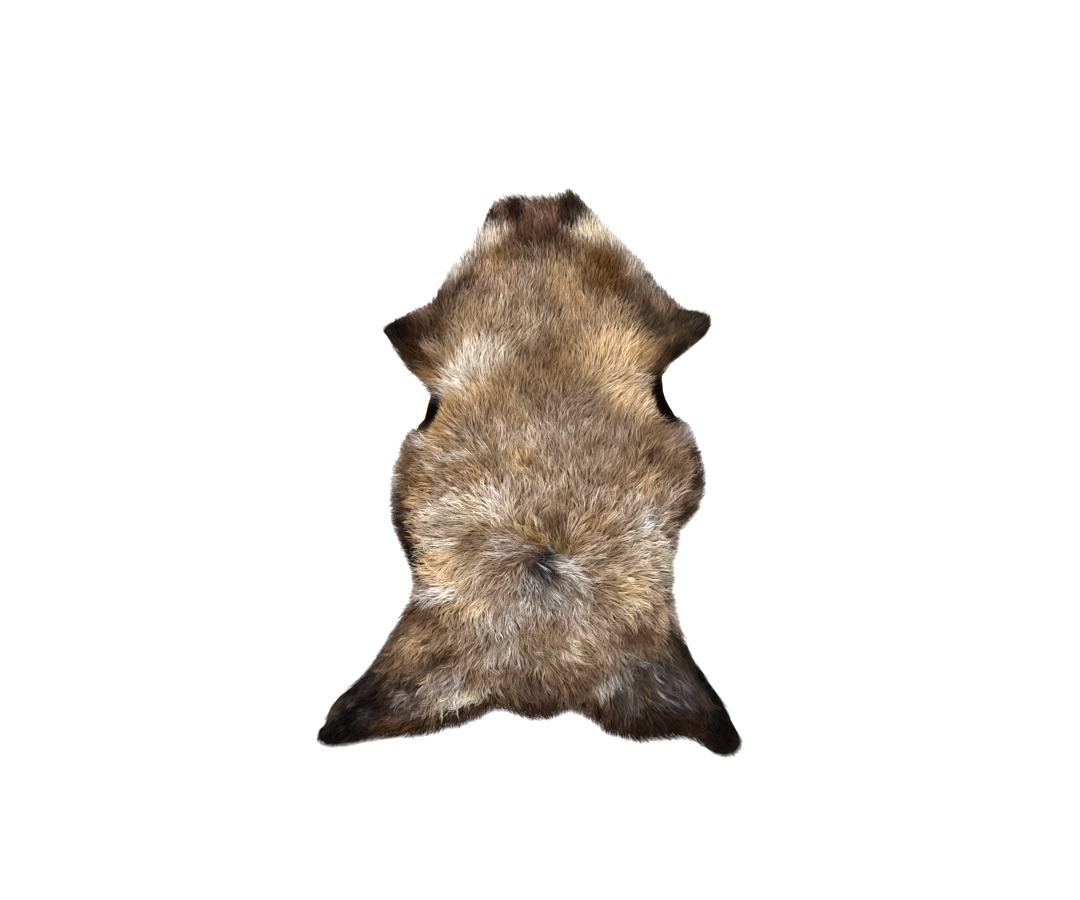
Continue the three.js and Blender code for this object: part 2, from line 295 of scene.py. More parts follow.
# x, y, half length, half width in millimetres, turn in degrees, wool, strength
BROAD_PATCHES = [
    # neck, shoulders, along the spine, rump, above the hem, belly
    (20, 455, 130, 70, 0, "bark", 0.9), (0, 330, 190, 62, 0, "tan", 0.7),
    (20, 400, 130, 70, 0, "ochre", 0.22), (30, 180, 52, 100, 0, "taupe", 0.75),
    (20, -290, 190, 80, 0, "ash", 0.6), (10, -405, 190, 42, 0, "bark", 0.75),
    (190, 20, 110, 60, 0, "taupe", 0.6),
]
PATCHES = [
    # neck
    (-31, 484, 21, 34, 0, "seal", 1.0), (-76, 470, 14, 15, 20, "seal", 0.9),
    (-58, 490, 9, 14, 0, "taupe", 0.5), (79, 480, 28, 44, 0, "seal", 1.0),
    (84, 500, 22, 22, 0, "black", 0.8), (22, 478, 28, 32, 0, "cocoa", 0.75),
    (10, 425, 48, 20, 0, "umber", 0.75), (-42, 446, 18, 16, 0, "cocoa", 0.7),
    (-86, 430, 28, 22, 30, "cream", 0.65), (-112, 404, 40, 9, 66, "ivory", 0.25),
    (126, 444, 46, 24, -35, "cream", 0.9), (92, 432, 15, 12, 0, "cream", 0.8),
    (64, 436, 15, 12, 0, "cocoa", 0.75), (80, 474, 25, 24, 0, "seal", 0.9),
    (-68, 430, 24, 17, 20, "cream", 0.7), (182, 330, 14, 12, -45, "rust", 0.55),
    (42, 490, 10, 12, 0, "cocoa", 0.6), (16, 428, 18, 12, 0, "rust", 0.35),
    (164, 426, 62, 12, -52, "ivory", 1.0), (-8, 388, 40, 12, 0, "umber", 0.5),
    (68, 398, 18, 14, 0, "umber", 0.4), (-78, 388, 40, 12, 10, "rust", 0.6),
    (138, 378, 44, 42, 0, "ochre", 1.0), (150, 332, 34, 22, -10, "ochre", 0.9),
    (100, 322, 36, 44, 0, "gold", 0.6), (104, 352, 22, 30, 0, "ochre", 0.6),
    (120, 328, 16, 14, 0, "ochre", 0.8), (130, 302, 14, 14, 0, "rust", 0.75),
    (-140, 366, 34, 10, 40, "ivory", 0.55),
    # shoulders and forelegs
    (-132, 334, 30, 18, 35, "umber", 0.9), (-158, 300, 26, 22, 30, "umber", 0.7),
    (-106, 307, 30, 18, 30, "ochre", 0.5), (60, 345, 42, 24, 0, "honey", 0.45),
    (-5, 250, 56, 26, 0, "honey", 0.45), (-40, 285, 54, 22, 0, "honey", 0.35),
    (-30, 290, 15, 11, 0, "bark", 0.6), (-62, 300, 16, 10, 0, "cream", 0.5),
    (-18, 320, 18, 10, 0, "honey", 0.4), (206, 318, 40, 30, -50, "umber", 0.7),
    (240, 262, 46, 34, -20, "seal", 0.85), (222, 344, 56, 7, -46, "ivory", 0.35),
    (318, 262, 46, 32, 0, "black", 0.8), (276, 214, 52, 18, 40, "black", 0.95),
    (-238, 248, 54, 36, -35, "black", 1.0), (-190, 252, 36, 28, -20, "umber", 0.85),
    (-155, 262, 26, 26, 0, "umber", 0.6), (-226, 204, 34, 22, -50, "seal", 0.9),
    (-204, 196, 44, 26, -42, "umber", 0.95), (-180, 166, 26, 14, -42, "gold", 0.7),
    # behind the forelegs
    (-108, 179, 62, 31, 45, "ivory", 1.0), (-146, 144, 36, 26, 50, "ivory", 0.95),
    (-64, 216, 26, 22, 30, "cream", 0.5), (-96, 138, 30, 18, 30, "honey", 0.6),
    (-36, 150, 34, 26, 20, "taupe", 0.4), (160, 206, 52, 46, 0, "honey", 1.0),
    (204, 192, 24, 28, 0, "gold", 0.8), (168, 142, 44, 42, -30, "honey", 0.9),
    (206, 108, 26, 34, 0, "honey", 0.6), (-148, 106, 16, 36, -20, "gold", 0.8),
    (-152, 104, 18, 20, 0, "bark", 0.25), (-172, 62, 22, 22, 0, "gold", 0.6),
    (-150, 52, 20, 18, 0, "bark", 0.3), (-185, 92, 52, 14, 68, "black", 1.0),
    (247, 124, 58, 19, -72, "black", 1.0), (-214, 38, 26, 16, 30, "silver", 0.8),
    (298, 56, 26, 18, 30, "silver", 0.85), (246, 200, 18, 20, 0, "ochre", 0.5),
    (212, 120, 14, 20, 0, "tan", 0.4), (223, 132, 8, 20, 15, "bark", 0.6),
    (30, 190, 20, 56, 0, "bark", 0.35),
    # belly
    (-50, 102, 26, 18, 0, "taupe", 0.5), (10, 48, 60, 22, 0, "silver", 0.35),
    (100, 48, 40, 26, 0, "ash", 0.5), (-100, 58, 46, 26, 20, "ash", 0.45),
    (-140, 12, 40, 12, 10, "silver", 0.8), (-50, -5, 60, 22, 10, "gold", 0.6),
    (-96, -2, 50, 18, 10, "bark", 0.5), (100, 0, 46, 34, 0, "fawn", 0.6),
    (100, 2, 34, 22, 0, "honey", 0.35), (-204, -50, 26, 32, 0, "gold", 0.6),
    (-228, 5, 24, 80, 0, "bark", 0.85), (-244, -40, 12, 60, 0, "umber", 0.8),
    (-252, 8, 12, 64, 0, "silver", 1.0), (-248, -98, 10, 40, 12, "silver", 0.6),
    (296, 0, 34, 60, 0, "bark", 0.55), (314, -20, 16, 62, 0, "umber", 0.75),
    (226, 12, 18, 18, 0, "umber", 0.75), (198, 52, 24, 18, 0, "fawn", 0.4),
    (264, 34, 24, 24, 0, "fawn", 0.5), (-105, -82, 66, 30, 5, "cream", 1.0),
    (-100, -102, 30, 16, 0, "ivory", 0.4), (-160, -116, 42, 40, 0, "cream", 0.85),
    (-30, -54, 28, 16, 0, "cream", 0.4), (52, -26, 20, 14, 0, "taupe", 0.5),
    (200, -80, 72, 16, -8, "silver", 0.45), (210, -110, 60, 13, -12, "cream", 0.7),
    (120, -60, 44, 22, 0, "fawn", 0.6), (196, -48, 30, 18, 0, "taupe", 0.35),
    (250, -48, 26, 20, 0, "fawn", 0.5), (290, -92, 26, 18, 30, "umber", 0.9),
    (-238, -98, 15, 58, 12, "umber", 0.65), (-170, 20, 18, 10, 0, "tan", 0.5),
    # round the parting
    (44, -112, 26, 22, 0, "bark", 0.7), (28, -142, 30, 20, 0, "ochre", 0.75),
    (2, -136, 28, 18, 0, "gold", 0.75), (60, -154, 22, 14, -20, "gold", 0.95),
    (150, -120, 18, 14, 0, "bark", 0.5), (0, -52, 36, 20, 0, "honey", 0.35),
    (86, -158, 36, 16, -10, "gold", 0.9), (116, -180, 34, 20, -10, "honey", 0.55),
    (28, -198, 46, 38, 0, "slate", 0.95), (32, -192, 32, 26, 0, "seal", 0.4),
    (84, -208, 42, 16, -45, "silver", 0.95), (96, -226, 26, 10, -45, "ivory", 0.6),
    (70, -196, 16, 14, 0, "silver", 0.8), (-92, -145, 36, 20, 5, "taupe", 0.45),
    (-50, -150, 34, 22, 10, "cream", 0.6), (-166, -154, 38, 20, 0, "cream", 1.0),
    (-160, -188, 46, 24, 5, "straw", 1.0), (-112, -200, 34, 22, 0, "cream", 0.95),
    (-105, -262, 44, 20, 0, "straw", 0.6), (-156, -242, 52, 15, 12, "ivory", 1.0),
    (-120, -226, 26, 10, 0, "gold", 0.45), (-128, -214, 40, 24, 10, "straw", 0.5),
    (-172, -116, 26, 16, 0, "tan", 0.7), (206, -160, 34, 44, 0, "cream", 0.85),
    (196, -140, 6, 26, 10, "bark", 0.5), (186, -226, 38, 32, 0, "honey", 0.9),
    (240, -180, 18, 54, 0, "cream", 0.75), (140, -250, 26, 28, 0, "taupe", 0.5),
    (20, -255, 56, 22, 0, "silver", 0.5), (8, -226, 22, 18, 0, "slate", 0.8),
    (50, -240, 18, 14, 0, "slate", 0.55), (-226, -140, 70, 12, -72, "seal", 1.0),
    (-214, -172, 30, 9, -72, "black", 0.9),
    # rump
    (-205, -278, 40, 24, 10, "bark", 0.9), (-150, -300, 34, 20, 20, "taupe", 0.7),
    (-70, -290, 50, 20, 0, "cream", 0.45), (25, -305, 60, 26, 0, "taupe", 0.8),
    (90, -330, 26, 30, 0, "cream", 0.25), (196, -310, 46, 26, 0, "bark", 0.85),
    (248, -288, 20, 40, 0, "fawn", 0.8), (230, -270, 20, 20, 0, "gold", 0.5),
    (-150, -352, 46, 20, 10, "bark", 0.95), (-205, -335, 26, 22, 0, "tan", 0.6),
    (-50, -350, 46, 18, 0, "silver", 0.45), (-118, -372, 30, 16, 10, "bark", 0.45),
    (-50, -398, 46, 14, 0, "ash", 0.7), (4, -402, 36, 16, 0, "umber", 0.5),
    # hind legs and hem
    (-244, -322, 22, 56, -32, "umber", 0.5), (-222, -338, 18, 18, 0, "fawn", 0.5),
    (270, -350, 13, 50, 20, "seal", 0.9), (210, -378, 64, 34, 0, "slate", 0.85),
    # painted highlight: the silver spot at (150, -400) is a glint on the dark right leg
    (265, -395, 50, 36, -30, "slate", 0.9), (150, -400, 36, 14, 30, "silver", 0.75),
    (240, -440, 76, 34, -12, "seal", 0.95), (322, -400, 88, 18, -59, "black", 1.0),
    (350, -490, 50, 44, -50, "black", 1.0), (318, -462, 30, 24, -40, "black", 0.9),
    (200, -486, 110, 32, 0, "seal", 1.0), (15, -450, 90, 26, 0, "umber", 1.0),
    (-112, -422, 40, 12, 15, "cream", 0.7), (-150, -395, 40, 12, 25, "silver", 0.5),
    (-175, -365, 34, 10, 10, "slate", 0.6), (-165, -425, 30, 10, -60, "ivory", 0.5),
    # painted highlight: the silver spot at (-228, -424) is a glint on the dark left leg
    (-255, -425, 70, 50, 25, "umber", 0.95), (-228, -424, 14, 9, 30, "silver", 0.55),
    (-325, -462, 80, 42, 32, "black", 1.0), (-312, -412, 62, 20, 45, "black", 0.95),
    (-195, -478, 120, 24, 8, "umber", 1.0), (-120, -452, 50, 14, 18, "umber", 0.8),
    (150, -456, 40, 22, -25, "umber", 0.85), (-318, -492, 64, 15, 8, "black", 0.9),
    (-138, -424, 20, 14, 20, "ivory", 0.9), (-235, -468, 44, 14, 12, "bark", 0.5),
    # painted highlights: these two slate streaks are glints on the black left toe
    (-300, -456, 18, 12, 50, "slate", 0.55), (-290, -402, 22, 8, 45, "slate", 0.5),
    # painted highlights: the slate streaks at (172, -428), (255, -424) and (298, -418) are glints on the
    # dark right leg
    (60, -440, 24, 12, 0, "umber", 0.8), (172, -428, 30, 20, -30, "slate", 0.9),
    (255, -424, 36, 14, -20, "slate", 0.8), (298, -418, 16, 16, 0, "slate", 0.7),
    (296, -474, 26, 16, -30, "umber", 0.6), (-190, -440, 26, 14, 10, "slate", 0.5),
]

print(len(BROAD_PATCHES) + len(PATCHES), "patches of", len(WOOLS), "wools")

# %% [markdown]
# ## Painting the fleece
# The patches are laid one over the other on the ground colour, broad ones first, then a dark rim, then
# the small ones. Drift frays their edges and mottles the result. Pale wool is also greyer and dark wool
# browner, so lightening a colour here moves its red least and its blue most.

# %% Lay the patches and mottle them
GROUND = "fawn"
RIM = "umber"
RIM_STRENGTH = 0.8
# in millimetres
RIM_WIDTH = 26
PATCH_REACH = 1.5
BRIGHTEST = 0.93
SLEEK_CALM = 0.25
# rows of drift: amount, size in millimetres, seed
PATCH_FRAY = [(0.24, 36, 21), (0.2, 14, 22)]
RIM_FRAY = [(8, 25, 26)]
MOTTLE = [(0.31, 38, 23), (0.32, 16, 24)]
WARM_DRIFT = [(1, 55, 27)]
# in red, green and blue: share of the palette's light, powers of lightening and of warmth, greyest wool
GAIN = np.array((0.835, 0.81, 0.81))
PALING = np.array((0.83, 1.0, 1.24))
WARMTH = np.array((0.04, -0.015, -0.16))
GREYEST = np.array((1.0, 0.94, 0.9))


def linear(shade):
    """A colour of 0 to 255 steps as the light it sends back, by the usual screen curve."""
    steps = np.asarray(shade) / 255
    return np.where(steps < 0.04045, steps / 12.92, ((steps + 0.055) / 1.055) ** 2.4)


def lay_patches(colour, places, patches):
    """Paints patches over a colour in turn: full in the inner half of the ellipse, half way on it, gone at
    half as far out again, with drift pushing that edge in and out."""
    fray = drifts(places, PATCH_FRAY)
    for *ellipse, wool, strength in patches:
        cover = np.clip(PATCH_REACH - (ellipse_radius(places, *ellipse) + fray), 0, 1)
        cover = strength * cover ** 2 * (3 - 2 * cover)
        colour = colour + cover[:, None] * (linear(WOOLS[wool]) - colour)
    return colour


def within_reach(colour):
    """The same hue, dimmed where it would send back more light than wool can."""
    return colour * np.minimum(1, BRIGHTEST / colour.max(axis=1))[:, None]


def lightened(colour, light):
    """Colours times e to the power of light, blue more so than red, but never bluer than grey wool."""
    lit = colour * np.exp(light[:, None] * PALING)
    return np.minimum(lit, lit[:, :1] * GREYEST)


def wool_colour(places):
    """Ground, broad patches, a darker rim and small patches, then mottled in lightness and in warmth."""
    colour = np.tile(linear(WOOLS[GROUND]), (len(places), 1))
    colour = lay_patches(colour, places, BROAD_PATCHES)
    rim = np.clip(1 - (depth(places) / MM + drifts(places, RIM_FRAY)) / RIM_WIDTH, 0, 1)
    colour = colour + RIM_STRENGTH * rim[:, None] * (linear(WOOLS[RIM]) - colour)
    colour = lay_patches(colour, places, PATCHES)
    mottle = drifts(places, MOTTLE) * (1 - SLEEK_CALM * sleekness(places))
    warmth = drifts(places, WARM_DRIFT)
    return GAIN * lightened(colour, mottle) * np.exp(warmth[:, None] * WARMTH)


print("wool on the back sends back", wool_colour(probe)[0].round(3), "of red, green and blue")

# %% [markdown]
# ## Nodes as sums
# A finish is a small tree of nodes. It could be wired by hand in the shader editor. Wrapping a socket in
# a class with + and * lets the tree be written as the formula it stands for, and any other node comes
# from one method.

# %% A wrapped socket
class Wire:
    """A socket of a material's node tree that can be added, multiplied and fed into other nodes."""

    def __init__(self, tree, socket=None):
        self.tree = tree
        self.socket = socket

    def add(self, kind, settings, sockets, out=0):
        """A new node of that kind: its settings first, then a value or a wire for each socket."""
        node = self.tree.nodes.new(kind)
        for name, value in settings.items():
            if name == "stops":
                self.set_stops(node.color_ramp.elements, value)
            else:
                setattr(node, name, value)
        for name, value in sockets.items():
            if isinstance(value, Wire):
                value.feed(node, name)
            else:
                node.inputs[name].default_value = value
        return Wire(self.tree, node.outputs[out])

    def set_stops(self, elements, stops):
        """Gives a ramp its stops, each a position and a colour."""
        while len(elements) < len(stops):
            elements.new(0.5)
        for element, (position, colour) in zip(elements, stops):
            element.position = position
            element.color = (*colour, 1)

    def feed(self, node, name):
        """Leads this wire into a socket of a node."""
        self.tree.links.new(self.socket, node.inputs[name])

    def maths(self, operation, first, second):
        """A Math node on two values or wires."""
        return self.add("ShaderNodeMath", {"operation": operation}, {0: first, 1: second})

    def __add__(self, other):
        return self.maths("ADD", self, other)

    def __rsub__(self, other):
        return self.maths("SUBTRACT", other, self)

    def __mul__(self, other):
        return self.maths("MULTIPLY", self, other)

    __radd__ = __add__
    __rmul__ = __mul__

    def noise(self, size, detail):
        """Noise from 0 to 1 with lumps of about that size, on the piece's own coordinates."""
        place = self.add("ShaderNodeTexCoord", {}, {}, out="Object")
        return self.add("ShaderNodeTexNoise", {}, {"Vector": place, "Scale": 1 / size, "Detail": detail})

    def speckle(self, size, least, span, detail):
        """Noise that starts from its least value and has that span."""
        return least + span * self.noise(size, detail)

    def tint(self, colour):
        """A colour, given as numbers or as a wire, times this wire: sockets 6 and 7 of a Mix node and its
        third output are those for colours."""
        settings = {"data_type": "RGBA", "blend_type": "MULTIPLY"}
        return self.add("ShaderNodeMix", settings, {0: 1.0, 6: colour, 7: self}, out=2)

    def bump(self, strength, distance):
        """The surface's normal, tilted as if this wire were its height."""
        return self.add("ShaderNodeBump", {}, {"Strength": strength, "Distance": distance, "Height": self})


def new_finish(name, constants):
    """A material with one Principled shader, its constants set, and a wire to start from."""
    material = bpy.data.materials.new(name)
    material.use_nodes = True
    shader = material.node_tree.nodes["Principled BSDF"]
    for socket, value in constants.items():
        shader.inputs[socket].default_value = value
    return material, shader, Wire(material.node_tree)


print("a wire can", [name for name in vars(Wire) if not name.startswith("_")])

# %% [markdown]
# ## The finishes
# Wool is matt, so its highlights are set low. Each strand brings its own colour as an attribute, and
# another says how far along it a point lies: roots are dark, because little light gets down there, and
# tips are bleached. The felt below the strands takes the same colours, much darker: painted shade
# between the strands. The hide is napped like suede, with a faint sheen. Painted textures could do this,
# but attributes follow every strand.

# %% Wool, under-wool and hide
WOOL_SHADES = [
    (0.0, (0.37, 0.31, 0.25)), (0.3, (0.66, 0.62, 0.57)),
    (0.65, (0.93, 0.92, 0.91)), (1.0, (1, 1.02, 1.05)),
]
# size of the lumps, least value, range, detail
WOOL_GRAIN, WOOL_ROUGHNESS = (2.5 * MM, 0.82, 0.36, 2), (6 * MM, 0.5, 0.25, 2)
FELT_SHADE_AND_GRAIN, FELT_ROUGHNESS = (3 * MM, 0.25, 0.3, 4), (8 * MM, 0.8, 0.15, 2)
WOOL_SPECULAR, FELT_SPECULAR = 0.05, 0.02
ROOT_GAMMA, GAMMA_FALL = 1.1, 0.17
FELT_GAMMA = 1.15
FELT_FIBRE, FELT_DETAIL, FELT_BUMP = 2 * MM, 4, 0.8
HIDE_TONE = (205, 180, 150)
HIDE_SHEEN = 0.4
STAIN_SIZE, STAIN_DETAIL = 60 * MM, 5
NAP_SIZE, NAP_DETAIL, NAP_HEIGHT, NAP_BUMP = 1.6 * MM, 3, 0.4 * MM, 0.5
# least value, and what the stains and the nap add to it
HIDE_GREY = (0.72, 0.3, 0.16)
HIDE_ROUGHNESS = (0.78, 0, 0.18)
HIDE_HEIGHT = (0, 0.6, 1)


def wool_finish():
    """The strand's colour with a gamma that falls from root to tip, times the shade at that share of its
    length, times a fine grain."""
    material, shader, wire = new_finish("wool", {"Specular IOR Level": WOOL_SPECULAR})
    colour = wire.add("ShaderNodeAttribute", {"attribute_name": "wool"}, {}, out="Color")
    along = wire.add("ShaderNodeAttribute", {"attribute_name": "along"}, {}, out="Fac")
    shade = wire.add("ShaderNodeValToRGB", {"stops": WOOL_SHADES}, {"Fac": along})
    gamma = ROOT_GAMMA - GAMMA_FALL * along
    bleached = wire.add("ShaderNodeGamma", {}, {"Color": colour, "Gamma": gamma})
    wire.speckle(*WOOL_GRAIN).tint(shade.tint(bleached)).feed(shader, "Base Color")
    wire.speckle(*WOOL_ROUGHNESS).feed(shader, "Roughness")
    return material


def under_wool_finish():
    """The wool's colour, deepened by a gamma, times a coarse grain of painted shade between the strands,
    0.25 to 0.55 as bright, with a bump of matted fibres.
    """
    material, shader, wire = new_finish("under_wool", {"Specular IOR Level": FELT_SPECULAR})
    colour = wire.add("ShaderNodeAttribute", {"attribute_name": "wool"}, {}, out="Color")
    deep = wire.add("ShaderNodeGamma", {}, {"Color": colour, "Gamma": FELT_GAMMA})
    # painted shade: the felt is 0.25 to 0.55 as bright as the wool's colour, with a grain in it
    wire.speckle(*FELT_SHADE_AND_GRAIN).tint(deep).feed(shader, "Base Color")
    wire.speckle(*FELT_ROUGHNESS).feed(shader, "Roughness")
    wire.noise(FELT_FIBRE, FELT_DETAIL).bump(FELT_BUMP, FELT_FIBRE).feed(shader, "Normal")
    return material


def hide_finish():
    """One pale tan, lighter and darker by wide stains and a fine nap, which also give the bump."""
    material, shader, wire = new_finish("hide", {"Sheen Weight": HIDE_SHEEN})
    stain = wire.noise(STAIN_SIZE, STAIN_DETAIL)
    nap = wire.noise(NAP_SIZE, NAP_DETAIL)
    grey, rough, height = [
        least + by_stain * stain + by_nap * nap
        for least, by_stain, by_nap in (HIDE_GREY, HIDE_ROUGHNESS, HIDE_HEIGHT)
    ]
    grey.tint((*linear(HIDE_TONE), 1)).feed(shader, "Base Color")
    rough.feed(shader, "Roughness")
    height.bump(NAP_BUMP, NAP_HEIGHT).feed(shader, "Normal")
    return material


FINISHES = {"wool": wool_finish(), "under_wool": under_wool_finish(), "hide": hide_finish()}
print("finishes", {name: len(finish.node_tree.nodes) for name, finish in FINISHES.items()}, "nodes")

# %% [markdown]
# ## Sheets that follow the outline
# The hide and the felted under-wool both fill the outline. A square grid is bent to fit it: two sides
# run along the flanks, one along the neck and one along the hem, and every point in between is a blend
# of the four (a Coons patch). A flat grid with an outline cut out of it would have a ragged edge.

# %% The bent grid and closed slabs
# in millimetres, anticlockwise seen from above
CORNERS = {
    "left neck": -50 + 506j, "left toe": -382 - 497j, "right toe": 382 - 506j, "right neck": 92 + 518j,
}
ROWS = 84
COLUMNS = 50


def bent_grid(line, rows, columns):
    """Plan places of a grid over the inside of a closed line: each is the blend of the points at its two
    ends on the flanks, plus the blend of those on neck and hem, less the blend of the four corners."""
    ends = [np.abs(line - corner * MM).argmin() for corner in CORNERS.values()]
    sides = []
    for start, stop, count in zip(ends, ends[1:] + ends[:1], (rows, columns, rows, columns)):
        stretch = np.roll(line, -start)[:(stop - start) % len(line) + 1]
        sides.append(even_line(stretch, count, closed=False))
    left, hem, right, neck = sides[0], sides[1], sides[2][::-1], sides[3][::-1]
    down, across = np.linspace(0, 1, rows)[:, None], np.linspace(0, 1, columns)[None, :]
    flanks = (1 - across) * left[:, None] + across * right[:, None]
    lengthways = (1 - down) * neck[None, :] + down * hem[None, :]
    corners = (1 - down) * ((1 - across) * left[0] + across * right[0])
    corners = corners + down * ((1 - across) * left[-1] + across * right[-1])
    return flanks + lengthways - corners


def grid_faces(rows, columns):
    """Quads of a grid, anticlockwise seen from above when rows run down and columns to the right."""
    number = np.arange(rows * columns).reshape(rows, columns)
    quads = [number[1:, :-1], number[1:, 1:], number[:-1, 1:], number[:-1, :-1]]
    return np.stack([q.ravel() for q in quads], axis=1)


def slab_arrays(plan, low, high):
    """A closed slab over a bent grid: its top, its underside turned over, and a wall round the rim."""
    rows, columns = plan.shape
    count = plan.size
    number = np.arange(count).reshape(rows, columns)
    rim = np.concatenate([number[:-1, 0], number[-1, :-1], number[:0:-1, -1], number[0, :0:-1]])
    after = np.roll(rim, -1)
    wall = np.stack([rim + count, after + count, after, rim], axis=1)
    faces = grid_faces(rows, columns)
    quads = np.concatenate([faces, faces[:, ::-1] + count, wall])
    sheets = [np.stack([plan.real, plan.imag, z], axis=-1).reshape(-1, 3) for z in (high, low)]
    return np.concatenate(sheets), quads


print("the middle of the grid lies at", bent_grid(outline, 3, 3)[1, 1].round(3))

# %% [markdown]
# ## From arrays to a piece
# Blender can fill a mesh from Python lists, but the strands would make those very long. foreach_set takes
# the arrays as they are. Every piece goes through one function, so each one rides on the same body and
# stands for the same solid. Colours become attributes of its points.

# %% Meshes and attributes
def new_piece(name, places, faces, finish, slot):
    """A mesh object at the origin from arrays of points and of faces with equal corner counts."""
    mesh = bpy.data.meshes.new(name)
    corners = faces.shape[1]
    mesh.vertices.add(len(places))
    mesh.vertices.foreach_set("co", places.astype(np.float32).ravel())
    mesh.loops.add(faces.size)
    mesh.loops.foreach_set("vertex_index", faces.astype(np.int32).ravel())
    mesh.polygons.add(len(faces))
    mesh.polygons.foreach_set("loop_start", np.arange(0, faces.size, corners, dtype=np.int32))
    mesh.update(calc_edges=True)
    mesh.shade_smooth()
    mesh.materials.append(FINISHES[finish])
    piece = bpy.data.objects.new(name, mesh)
    bpy.context.scene.collection.objects.link(piece)
    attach(piece, "root")
    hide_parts("sheepskin")
    print(name, "has", len(mesh.polygons), "faces")
    return piece


def paint_values(piece, name, values):
    """Stores one number for each point of a piece as a named attribute."""
    layer = piece.data.attributes.new(name, "FLOAT", "POINT")
    layer.data.foreach_set("value", values.astype(np.float32))


def paint_colours(piece, name, colours):
    """Stores one opaque colour for each point of a piece as a named attribute."""
    layer = piece.data.attributes.new(name, "FLOAT_COLOR", "POINT")
    opaque = np.concatenate([colours, np.ones((len(colours), 1))], axis=1)
    layer.data.foreach_set("color", opaque.astype(np.float32).ravel())


print("every piece will stand for", list(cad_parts))

# %% [markdown]
# ## The hide
# The hide is a sheet two millimetres thick. It is cut a little inside the reach of the wool, but comes
# out to the edge at the toes and past it in the two strips at the armpits, where it carries short wool.
# A plane with a Solidify modifier would do as well. A closed slab over the bent grid needs no modifier.

# %% Make the hide
HIDE_INSET = 4 * MM
HIDE_THICKNESS = 2 * MM
PAW_REACH = 1.1
STRIP_REACH = 4 * MM
STRIP_FADE = 6 * MM

in_strip = np.clip(1 - strip_gap(outline) / STRIP_FADE, 0, 1)
inset = HIDE_INSET * (1 - PAW_REACH * within(outline, PAWS))
hide_edge = outline + (STRIP_REACH * in_strip - inset * (1 - in_strip)) * outward
hide_plan = bent_grid(even_line(hide_edge, OUTLINE_POINTS), ROWS, COLUMNS)
ground = np.zeros(hide_plan.shape)
hide = new_piece("hide", *slab_arrays(hide_plan, ground, ground + HIDE_THICKNESS), "hide", "hide")

# %% [markdown]
# ## The under-wool
# Between the long strands of a fleece there is short, dense under-wool. Growing it hair by hair would
# double the strands for something that is hardly seen, so it is a felt on the hide, half as high as the
# wool and lower towards the edge. No floor shows through it. At one armpit it leaves a lip of hide bare.

# %% Make the under-wool
UNDER_SHARE = 0.5
UNDER_INSET = 1 * MM
EDGE_SHARE = 0.25
EDGE_WIDTH = 30 * MM
# x, y, half length, half width in millimetres, turn in degrees
BARE_LIP = (-187, 102, 24, 16, 75)
LIP_WIDTH = 3 * MM


def edge_rise(places):
    """Share of its full height that the under-wool has: a quarter at the edge of the fleece, all of it
    thirty millimetres further in."""
    return EDGE_SHARE + (1 - EDGE_SHARE) * np.clip(fleece_depth(places) / EDGE_WIDTH, 0, 1)


def bare_width(places):
    """Width of hide that the wool leaves bare: all of it inside the lip, none at half as far out again."""
    return LIP_WIDTH * within(places, [BARE_LIP])


under_edge = hide_edge - (UNDER_INSET + bare_width(outline)) * outward
under_plan = bent_grid(even_line(under_edge, OUTLINE_POINTS), ROWS, COLUMNS)
under_places = under_plan.ravel()
under_rise = UNDER_SHARE * wool_height(under_places) * edge_rise(under_places)
under_low = ground + HIDE_THICKNESS
under_slab = slab_arrays(under_plan, under_low, under_rise.reshape(under_plan.shape) + HIDE_THICKNESS)
under_wool = new_piece("under_wool", *under_slab, "under_wool", "wool")
under_colour = within_reach(wool_colour(under_places))
paint_colours(under_wool, "wool", np.concatenate([under_colour, under_colour]))

# %% [markdown]
# ## The path of a strand
# A strand rises from the under-wool, arches over and comes down again towards its tip. A Bezier curve
# could draw that. Here its lean changes evenly along its length, which makes the path an arc of a circle
# with a plain formula, and a bend and a wave push it sideways.

# %% Scattered roots and arched paths
def scattered(pitch, stray, seed, least_depth):
    """Places on a staggered net, each strayed by chance, that lie deeper inside the outline than asked."""
    rng = np.random.default_rng(seed)
    row_step = math.sqrt(0.75)
    wide, long = np.ptp(outline.real) / pitch, np.ptp(outline.imag) / (pitch * row_step)
    row, column = np.mgrid[0:int(long) + 2, 0:int(wide) + 2]
    net = (column + 0.5 * (row % 2)) + 1j * row * row_step
    net = net + stray * (rng.uniform(-0.5, 0.5, net.shape) + 1j * rng.uniform(-0.5, 0.5, net.shape))
    places = (outline.real.min() + 1j * outline.imag.min() + net * pitch).ravel()
    return places[depth(places) > least_depth]


def strand_paths(roots, share, traits):
    """Paths of strands, as plan places and heights at given shares of their lengths. A strand's lean goes
    evenly from its lift to its droop, so its reach and rise are differences of sines and cosines of the
    lean, times its length over the change of lean. A bend and a wave push it sideways."""
    each = {name: trait[:, None] for name, trait in traits.items()}
    lift, droop, length = each["lift"], each["droop"], each["length"]
    lean = lift + (droop - lift) * share
    reach = (np.sin(lean) - np.sin(lift)) / (droop - lift)
    rise = (np.cos(lift) - np.cos(lean)) / (droop - lift)
    swing = np.sin(2 * np.pi * (each["waves"] * share + each["phase"]))
    sideways = each["bend"] * share ** 2 + each["wave"] * share * swing
    flow = combing(roots) * np.exp(1j * traits["turn"])
    plan = roots[:, None] + flow[:, None] * length * (reach + 1j * sideways)
    return plan, each["start"] + length * rise


print("a net with 50 mm between places has", len(scattered(50 * MM, 0, 0, 0)), "on the skin")

# %% [markdown]
# ## The traits of a strand
# Near the edge the wool is short and lies flat, on the back it stands up to the height of the solid. It
# is shorter where it is sleek and on the toes, longer in the fluff, and curlier on the left hind leg.
# Chance then makes every strand a little different. Length and combing maps could be painted by hand,
# but these rules follow the outline by themselves.

# %% Lean, length and wave
INWARD_WIDTH = 60 * MM
